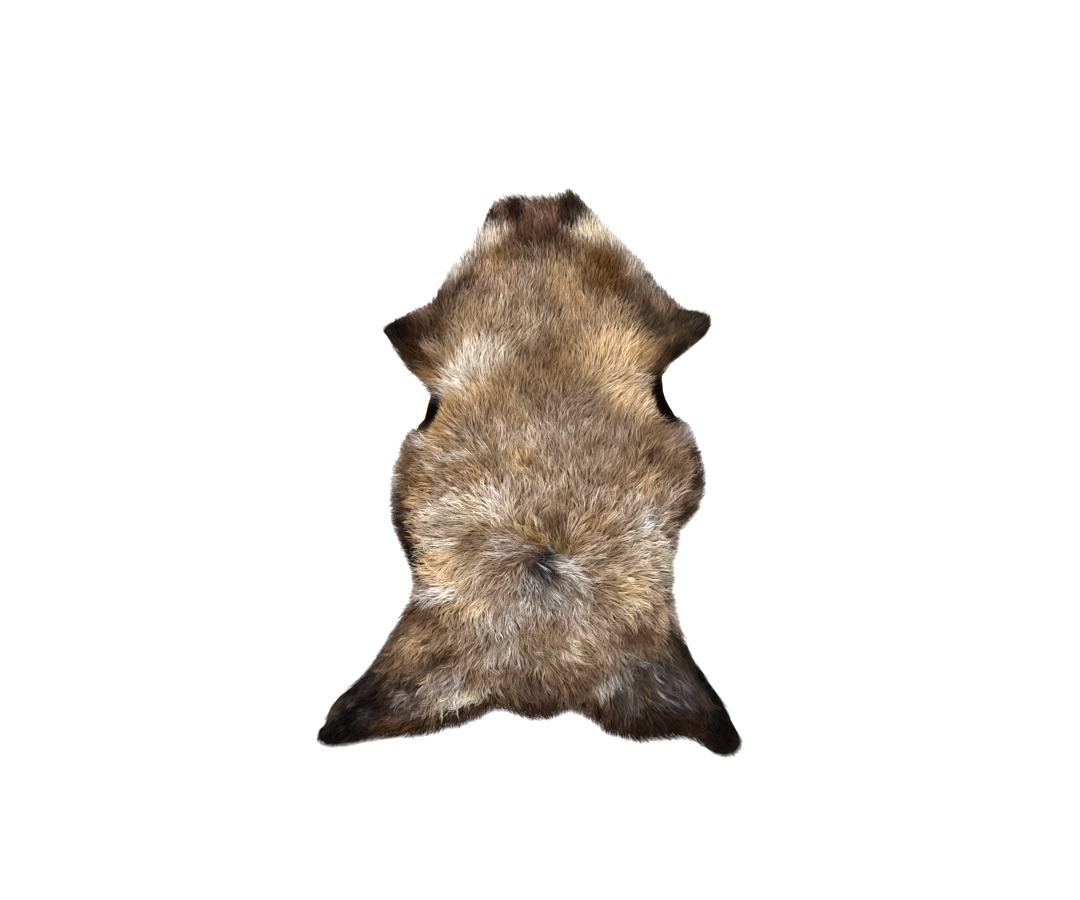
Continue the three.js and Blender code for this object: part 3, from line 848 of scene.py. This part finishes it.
# lean of root and tip over the level in degrees: at the edge of the fleece, and what the back adds
LIFT_EDGE, LIFT_BACK = 18, 34
DROOP_EDGE, DROOP_BACK = -14, 17
SPREADS = {"lift": 0.16, "droop": 0.14, "length": 0.14, "turn": 0.3, "bend": 0.2}
LEAST_ARCH = 0.2
LEAST_RISE = 0.2
ROOT_DEPTH = 2 * MM
SHORTEST = 16 * MM
LONGEST = 46 * MM
SLEEK_SHORTER, PAW_SHORTER, FLUFF_LONGER = 0.25, 0.4, 0.4
WAVE, SLEEK_WAVE_LESS, CURL_WAVE_MORE = 0.08, 0.03, 0.05
# x, y, half length, half width in millimetres, turn in degrees
CURLY = (-180, -380, 130, 80, 15)
CURL_REACH = 1.6
WAVES_RANGE = (0.8, 1.3)


def strand_traits(roots, rng, spread):
    """Traits of strands at these roots: their lean, a length that brings them up to the height of the
    solid, longer or shorter by region, and how they turn, bend and wave."""
    count = len(roots)

    def chance(name):
        """Chance values with the spread of one trait."""
        return spread * rng.normal(0, SPREADS[name], count)

    inward = np.clip(fleece_depth(roots) / INWARD_WIDTH, 0, 1)
    height = wool_height(roots)
    lift = np.radians(LIFT_EDGE + LIFT_BACK * inward) + chance("lift")
    droop = np.radians(DROOP_EDGE + DROOP_BACK * inward) + chance("droop")
    droop = np.minimum(droop, lift - LEAST_ARCH)
    start = HIDE_THICKNESS + edge_rise(roots) * UNDER_SHARE * height - ROOT_DEPTH
    rise = (np.cos(lift) - np.cos(droop)) / (droop - lift)
    length = np.clip((height - start) / np.maximum(rise, LEAST_RISE), SHORTEST, LONGEST)
    length = length * (1 - SLEEK_SHORTER * sleekness(roots))
    length = length * (1 - PAW_SHORTER * within(roots, PAWS)) * (1 + FLUFF_LONGER * within(roots, FLUFFY))
    curl = np.clip(CURL_REACH - ellipse_radius(roots, *CURLY), 0, 1)
    wave = WAVE - SLEEK_WAVE_LESS * sleekness(roots) + CURL_WAVE_MORE * curl
    return {
        "lift": lift, "droop": droop, "start": start,
        "length": length * np.exp(chance("length")),
        "turn": chance("turn"),
        "bend": chance("bend"),
        "wave": wave * np.abs(rng.normal(0, 1, count)),
        "waves": rng.uniform(*WAVES_RANGE, count),
        "phase": rng.uniform(0, 1, count),
    }


sample = strand_traits(probe, np.random.default_rng(0), 0.0)
print("strands there are", (sample["length"] / MM).round(1), "mm long")

# %% [markdown]
# ## Locks
# Wool doesn't stand hair by hair: a few hundred hairs lean together into a small lock. A guide stands
# for each lock and knows its lean, length, wave and lightness, and in some places its tips are silver,
# partly as real frosted wool and partly as painted glints of its sheen.
# Blender's own hair has guides too. Strands will follow their own path at the root and their guide's at
# the tip.

# %% Guides for the locks
SEED = 7
LOCK_PITCH = 9 * MM
LOCK_STRAY = 0.8
LOCK_LIGHT = 0.38
SLEEK_LIGHT_LESS = 0.6
FROST_AND_GLINT_FADE = 0.15
# x, y, half length, half width in millimetres, turn in degrees, share of the locks with pale tips, partly
# real frost and partly painted glints
FROST_AND_GLINT_AREAS = [(205, -385, 70, 34, -10, 0.22), (-180, -388, 50, 30, 10, 0.24), (40, -225, 90, 50, 0, 0.26)]
# in the same way, by how much more or less the strands there differ in lightness
STREAKED = [
    (-45, 295, 70, 40, -30, 0.8), (10, 450, 110, 70, 0, 0.8), (40, -205, 60, 45, 0, 0.3),
    (-145, -180, 75, 85, 0, -0.45),
]


def amounts(places, rows):
    """The sum of some amounts, each full inside its ellipse and none at half as far out again."""
    return sum(amount * within(places, [ellipse]) for *ellipse, amount in rows)


guides = scattered(LOCK_PITCH, LOCK_STRAY, SEED, 0.0)
guide_traits = strand_traits(guides, np.random.default_rng(SEED + 1), 1.0)
guide_rng = np.random.default_rng(SEED + 2)
guide_light = guide_rng.normal(0, LOCK_LIGHT, len(guides)) * (1 - SLEEK_LIGHT_LESS * sleekness(guides))
guide_streaks = 1 + amounts(guides, STREAKED)
guide_lots = guide_rng.uniform(0, 1, len(guides))
guide_frost_and_glint = np.clip((amounts(guides, FROST_AND_GLINT_AREAS) - guide_lots) / FROST_AND_GLINT_FADE, 0, 1)
print(len(guides), "locks,", int((guide_frost_and_glint > 0).sum()), "of them with pale tips")

# %% [markdown]
# ## Needles
# A strand is a three-sided needle carried along its path: a ring of three points at each step, one point
# at the tip. A bevelled curve would make the same shape, thousands of times slower. Here all needles
# share one small table of triangles, shifted along for each strand.

# %% From paths to needles
SIDES = 3
TAPER = 0.97
LOWEST = 0.3 * MM


def needle_triangles(steps):
    """Corner numbers of one needle: two triangles a side between rings, three at the tip, one at the
    root."""
    ring = np.arange(SIDES)
    turn = np.roll(ring, -1)
    faces = [np.array([ring[::-1]])]
    for step in range(steps - 2):
        low, high = step * SIDES, (step + 1) * SIDES
        faces.append(np.stack([low + ring, low + turn, high + turn], axis=1))
        faces.append(np.stack([low + ring, high + turn, high + ring], axis=1))
    low, tip = (steps - 2) * SIDES, (steps - 1) * SIDES
    faces.append(np.stack([low + ring, low + turn, np.full(SIDES, tip)], axis=1))
    return np.concatenate(faces)


def needle_arrays(plan, heights, girth):
    """Points of needles along paths, and how far along each lies. At each step the ring lies across the
    path: one axis is level and the other is square to it and to the path. The girth falls with the root of
    what is left of the length, to nothing at the tip."""
    count, steps = plan.shape
    centre = np.stack([plan.real, plan.imag, heights], axis=-1)
    ahead = np.gradient(centre, axis=1)
    ahead /= np.linalg.norm(ahead, axis=-1, keepdims=True)
    level = np.stack([-ahead[..., 1], ahead[..., 0], np.zeros((count, steps))], axis=-1)
    level /= np.linalg.norm(level, axis=-1, keepdims=True) + 1e-9
    square = np.cross(ahead, level)
    share = np.linspace(0, 1, steps)
    radius = girth[:, None] * np.sqrt(1 - TAPER * share)
    angle = 2 * np.pi * np.arange(SIDES) / SIDES + np.pi / 2
    across = np.cos(angle)[:, None] * level[:, :, None] + np.sin(angle)[:, None] * square[:, :, None]
    rings = (centre[:, :, None] + radius[:, :, None, None] * across)[:, :-1].reshape(count, -1, 3)
    points = np.concatenate([rings, centre[:, -1:]], axis=1)
    points[..., 2] = np.maximum(points[..., 2], LOWEST)
    return points, np.append(np.repeat(share[:-1], SIDES), 1.0)


print("a needle of six steps has", len(needle_triangles(6)), "triangles")

# %% [markdown]
# ## Shears and colour
# The edge of a skin is trimmed, but not to a clean line: each strand may hang over by its own slack, a
# little less on the toes and more in the fluff. What is past that is cut by shortening the strand, since
# cutting its mesh would leave it open. Its colour is read where its middle lies, a little off by chance,
# mixed in some locks with pale silver that is partly real frost and partly painted glints, and lightened
# by its lock's lightness and its own. Pale wool is the more even.

# %% Trim the strands, colour the strands
LEAST_KEPT = 0.22
SLACK_RANGE = (0.1, 1)
PAW_SLACK_LESS, FLUFF_SLACK_MORE = 0.2, 0.7
STRAND_LIGHT = 0.23
STRAND_SLEEK_LESS = 0.3
LIGHT_FREEDOM = 4
LIGHT_LIMIT = 3
COLOUR_STRAY = 3.5 * MM
PALE_EVENNESS = 0.45
# pale silver mixed into the strands of some locks: partly real frosted wool, partly painted glints of the
# dark wool's sheen
FROST_AND_GLINT_WOOL = "silver"
FROST_AND_GLINT_STRENGTH = 0.48
FROST_AND_GLINT_RANGE = (0.3, 1)


def edge_slack(roots, overhang, rng):
    """How far each strand may hang over the edge: a chance share of the overhang, changed by region."""
    slack = overhang * rng.uniform(*SLACK_RANGE, len(roots))
    slack = slack * (1 - PAW_SLACK_LESS * within(roots, PAWS))
    return slack * (1 + FLUFF_SLACK_MORE * within(roots, FLUFFY))


def kept_share(plan, slack):
    """Share of each path that the shears leave: up to where it first runs more than its slack past the edge
    of the long wool, by the straight line between the steps before and after."""
    room = fleece_depth(plan.ravel(), np.repeat(slack, plan.shape[1])).reshape(plan.shape)
    past = room < 0
    first = np.maximum(np.where(past.any(axis=1), past.argmax(axis=1), plan.shape[1] - 1), 1)[:, None]
    before, after = np.take_along_axis(room, first - 1, 1), np.take_along_axis(room, first, 1)
    part = np.where(after < 0, np.clip(before / np.maximum(before - after, 1e-9), 0, 1), 1)
    return np.clip((first - 1 + part) / (plan.shape[1] - 1), LEAST_KEPT, 1)[:, 0]


def strand_colours(middles, near, sleek, rng):
    """Colours of strands: the wool's near their middles, mixed with pale frost as far as their lock has it,
    which is partly real frosted wool and partly painted glints, then lightened by e to the power of their
    lock's lightness plus their own."""
    count = len(middles)
    chance = rng.standard_t(LIGHT_FREEDOM, count).clip(-LIGHT_LIMIT, LIGHT_LIMIT)
    light = guide_light[near] + STRAND_LIGHT * (1 - STRAND_SLEEK_LESS * sleek) * chance
    stray = rng.normal(size=count) + 1j * rng.normal(size=count)
    colour = wool_colour(middles + COLOUR_STRAY * stray)
    light *= guide_streaks[near] * (1 - PALE_EVENNESS * colour.mean(axis=1))
    # partly painted glints: silver mixed into the strand as far as its lock is frosted
    frost_and_glint = (FROST_AND_GLINT_STRENGTH * guide_frost_and_glint[near] * rng.uniform(*FROST_AND_GLINT_RANGE, count))[:, None]
    return within_reach(lightened(colour + frost_and_glint * (linear(WOOLS[FROST_AND_GLINT_WOOL]) - colour), light))


print("the shears leave at least", LEAST_KEPT, "of a strand")

# %% [markdown]
# ## Growing the layers
# The fleece is grown in four layers: the main wool of the forequarters, that of the hindquarters with one
# more step to its longer waves, sparse thin hairs that are a little longer, and fine fuzz along the rim.
# One layer of equal strands would look like a brush.

# %% Grow the strands
ROOT_STRAY = 0.9
ROOT_INSET = 0.5 * MM
STRAND_SPREAD = 0.55
SHORT_LENGTH = 6 * MM
BARE_MARGIN = 1.5
SHORT_OVERHANG = 0.6
TIGHT_RANGE = (0.5, 1.2)
SLEEK_TIGHT_LESS = 0.45
GIRTH_RANGE = (0.7, 1.2)
PULL_POWER = 1.4
RIM_TIGHT, RIM_TIGHT_WIDTH = 0.3, 25 * MM
RIM_GIRTH, RIM_GIRTH_WIDTH = 0.5, 20 * MM


def rooted(places, band, sleek_range):
    """Which places bear strands of a layer: those in its band along the edge and its range of sleekness, in
    a strip only where the short wool stays on the hide and off its bare lip."""
    inside, sleek = depth(places), sleekness(places)
    bare = BARE_MARGIN * bare_width(places) - STRIP_REACH + SHORT_OVERHANG * SHORT_LENGTH
    held = (strip_gap(places) > 0) | (inside > bare)
    return held & (inside < band) & (sleek >= sleek_range[0]) & (sleek <= sleek_range[1])


def nearest_guide(some):
    """Number of the guide that is nearest to each of some places."""
    return np.abs(some[:, None] - guides).argmin(axis=1)


def lock_paths(roots, near, traits, tightness, share):
    """Paths of strands drawn towards those of their locks: by their tightness times a power of the share
    of the length, so more towards the tip."""
    own, own_heights = strand_paths(roots, share, traits)
    lock = {name: trait[near] for name, trait in guide_traits.items()}
    led, led_heights = strand_paths(guides[near], share, lock)
    pull = tightness[:, None] * share ** PULL_POWER
    return own + pull * (led - own), own_heights + pull * (led_heights - own_heights)


def grow(pitch, steps, girth, clump, seed, overhang, extra=1.0, band=1.0, sleek_range=(0, 1)):
    """One layer of strands, over the whole skin or a part of it: scattered roots, each strand drawn towards
    the nearest guide, trimmed, coloured and made a needle."""
    rng = np.random.default_rng(seed)
    roots = scattered(pitch, ROOT_STRAY, seed + 1, ROOT_INSET)
    roots = roots[rooted(roots, band, sleek_range)]
    near, inside, sleek = in_chunks(nearest_guide, roots), depth(roots), sleekness(roots)
    short = strip_gap(roots) < 0
    traits = strand_traits(roots, rng, STRAND_SPREAD)
    traits["length"] = np.where(short, SHORT_LENGTH, traits["length"]) * extra
    for name in ("wave", "waves", "phase"):
        traits[name] = guide_traits[name][near]
    tightness = clump * rng.uniform(*TIGHT_RANGE, len(roots)) * (1 - SLEEK_TIGHT_LESS * sleek)
    tightness *= RIM_TIGHT + (1 - RIM_TIGHT) * np.clip(inside / RIM_TIGHT_WIDTH, 0, 1)
    tightness[short] = 0
    share = np.tile(np.linspace(0, 1, steps), (len(roots), 1))
    untrimmed, _ = lock_paths(roots, near, traits, tightness, share)
    kept = kept_share(untrimmed, edge_slack(roots, overhang, rng))
    share *= np.where(short, 1, kept)[:, None]
    plan, heights = lock_paths(roots, near, traits, tightness, share)
    colour = strand_colours(plan[:, steps // 2], near, sleek, rng)
    thinned = RIM_GIRTH + (1 - RIM_GIRTH) * np.clip(inside / RIM_GIRTH_WIDTH, 0, 1)
    width = girth * thinned * rng.uniform(*GIRTH_RANGE, len(roots))
    points, along = needle_arrays(plan, heights, width)
    faces = needle_triangles(steps)
    print(len(roots), "strands,", len(roots) * len(faces), "triangles")
    return {"roots": roots, "points": points, "faces": faces, "along": along, "colour": colour}


MAIN = {"pitch": 4.35 * MM, "girth": 0.93 * MM, "clump": 0.65, "overhang": 12 * MM}
THIN = {"girth": 0.6 * MM, "clump": 0.3}
LAYERS = [
    grow(**MAIN, steps=5, seed=100, sleek_range=(0.5, 1)),
    grow(**MAIN, steps=6, seed=150, sleek_range=(0, 0.4999)),
    grow(**THIN, pitch=9.0 * MM, steps=4, seed=200, overhang=16 * MM, extra=1.1),
    grow(**THIN, pitch=3.0 * MM, steps=3, seed=300, overhang=11 * MM, band=14 * MM),
]

# %% [markdown]
# ## One mesh for each part of the fleece
# A wool sorter divides a fleece into neck, shoulders, sides and so on. The strands are joined into one
# mesh for each such part, which keeps every mesh to a size that can still be handled. Each strand also
# gets a small cell of a texture map of its own, so that its colour can be stored in a picture.

# %% Sort the strands and join them
# where each part ends along the back, in millimetres
FLEECE_PARTS = {
    "wool_neck": 270, "wool_shoulders": 130, "wool_girth": 20, "wool_flanks": -90, "wool_loin": -200,
    "wool_rump": -348, "wool_hind": -1000,
}
CELL_MARGIN = 0.12
CELL_CORNERS = np.array([0.0, 0.5, 1.0])


def part_numbers(roots):
    """Which part of the fleece each root belongs to, by its place along the back."""
    limits = np.array(list(FLEECE_PARTS.values()))[:-1] * MM
    return (roots.imag[:, None] < limits).sum(axis=1)


def bake_cells(counts):
    """Corners of every strand in its own square cell of the unit square, for the number of strands of each
    layer: root at the bottom, tip at the top, all sides on one strip."""
    cells = math.ceil(math.sqrt(sum(counts)))
    first, maps = 0, []
    for count, layer in zip(counts, LAYERS):
        upwards = layer["along"][layer["faces"]]
        inside = np.stack([np.broadcast_to(CELL_CORNERS, upwards.shape), upwards], axis=-1)
        number = first + np.arange(count)
        corner = np.stack([number % cells, number // cells], axis=1)[:, None, None, :]
        maps.append(((corner + CELL_MARGIN + (1 - 2 * CELL_MARGIN) * inside) / cells).reshape(-1, 2))
        first += count
    return np.concatenate(maps)


def join_part(name, number):
    """All strands of one part of the fleece as one mesh, with their colours and their map."""
    places, faces, colours, alongs, counts = [], [], [], [], []
    offset = 0
    for layer in LAYERS:
        chosen = part_numbers(layer["roots"]) == number
        points = layer["points"][chosen]
        count, each, _ = points.shape
        shift = offset + each * np.arange(count)[:, None, None]
        places.append(points.reshape(-1, 3))
        faces.append((layer["faces"] + shift).reshape(-1, 3))
        colours.append(np.repeat(layer["colour"][chosen], each, axis=0))
        alongs.append(np.tile(layer["along"], count))
        counts.append(count)
        offset += count * each
    piece = new_piece(name, np.concatenate(places), np.concatenate(faces), "wool", "wool")
    paint_colours(piece, "wool", np.concatenate(colours))
    paint_values(piece, "along", np.concatenate(alongs))
    uv = piece.data.uv_layers.new(name="OFBake")
    uv.data.foreach_set("uv", bake_cells(counts).astype(np.float32).ravel())
    return piece


fleece = [join_part(name, number) for number, name in enumerate(FLEECE_PARTS)]

# %% [markdown]
# ## The area of the hide
# The skin is soft. The area of the hide's cut outline is half the sum of the cross products of neighbouring
# points.

cut_area = 0.5 * abs((hide_edge.conj() * np.roll(hide_edge, -1)).imag.sum())

# %% [markdown]
# ## Floor and light
# The skin lies on a plain pale floor. Wool looks softest in light from all round, so most of it comes
# from a white world, and one large round lamp high beyond the neck gives the locks their shadows.
# A small lamp would draw hard lines between them.

# %% Lay the floor, hang the lamp
FLOOR_HALF = 6.0
FLOOR_TOP = -0.4 * MM
FLOOR_FINISH = {"Roughness": 0.9, "Base Color": (0.9, 0.9, 0.9, 1)}
LAMP_PLACE = (-1.0, 1.2, 2.6)
LAMP_SIZE = 1.8
LAMP_POWER = 131
WORLD_STRENGTH = 1.46


def make_floor():
    """One square face just under the hide."""
    signs = [(-1, -1), (1, -1), (1, 1), (-1, 1)]
    mesh = bpy.data.meshes.new("floor")
    mesh.from_pydata([(x * FLOOR_HALF, y * FLOOR_HALF, FLOOR_TOP) for x, y in signs], [], [(0, 1, 2, 3)])
    mesh.materials.append(new_finish("floor", FLOOR_FINISH)[0])
    floor = bpy.data.objects.new("floor", mesh)
    bpy.context.scene.collection.objects.link(floor)


def make_lamp():
    """A round area lamp that points at the middle of the skin."""
    lamp = bpy.data.lights.new("window", "AREA")
    lamp.shape = "DISK"
    lamp.size = LAMP_SIZE
    lamp.energy = LAMP_POWER
    holder = bpy.data.objects.new("window", lamp)
    holder.location = LAMP_PLACE
    holder.visible_camera = False
    holder.rotation_euler = (-holder.location.normalized()).to_track_quat("-Z", "Y").to_euler()
    bpy.context.scene.collection.objects.link(holder)


def make_world():
    """White light from all round."""
    world = bpy.data.worlds.new("studio")
    world.use_nodes = True
    sky = world.node_tree.nodes["Background"]
    sky.inputs["Strength"].default_value = WORLD_STRENGTH
    sky.inputs["Color"].default_value = (1, 1, 1, 1)
    bpy.context.scene.world = world


make_floor()
make_lamp()
make_world()
bpy.context.scene.view_settings.view_transform = "Standard"
print("floor", 2 * FLOOR_HALF, "m wide, lamp", LAMP_PLACE[2], "m up")

# %% [markdown]
# ## Camera
# The photograph was taken from almost straight above. The camera hangs over the rump and tips slightly
# towards the neck. A camera straight above the middle would show the hem and the neck alike.

# %% Hang the camera
SENSOR_WIDTH = 36
FOCAL_LENGTH = 31.5
CAMERA_PLACE = (19 * MM, -178 * MM, 1750 * MM)
CAMERA_TILT = math.radians(6.64)

lens = bpy.data.cameras.new("camera")
lens.sensor_width = SENSOR_WIDTH
lens.lens = FOCAL_LENGTH
camera = bpy.data.objects.new("camera", lens)
camera.location = CAMERA_PLACE
camera.rotation_euler = (CAMERA_TILT, 0, 0)
bpy.context.scene.collection.objects.link(camera)
bpy.context.scene.camera = camera
print("camera at", [round(c, 3) for c in camera.location])

# %% [markdown]
# The dressed model has to stay in the box of the solid, give or take the fluff.
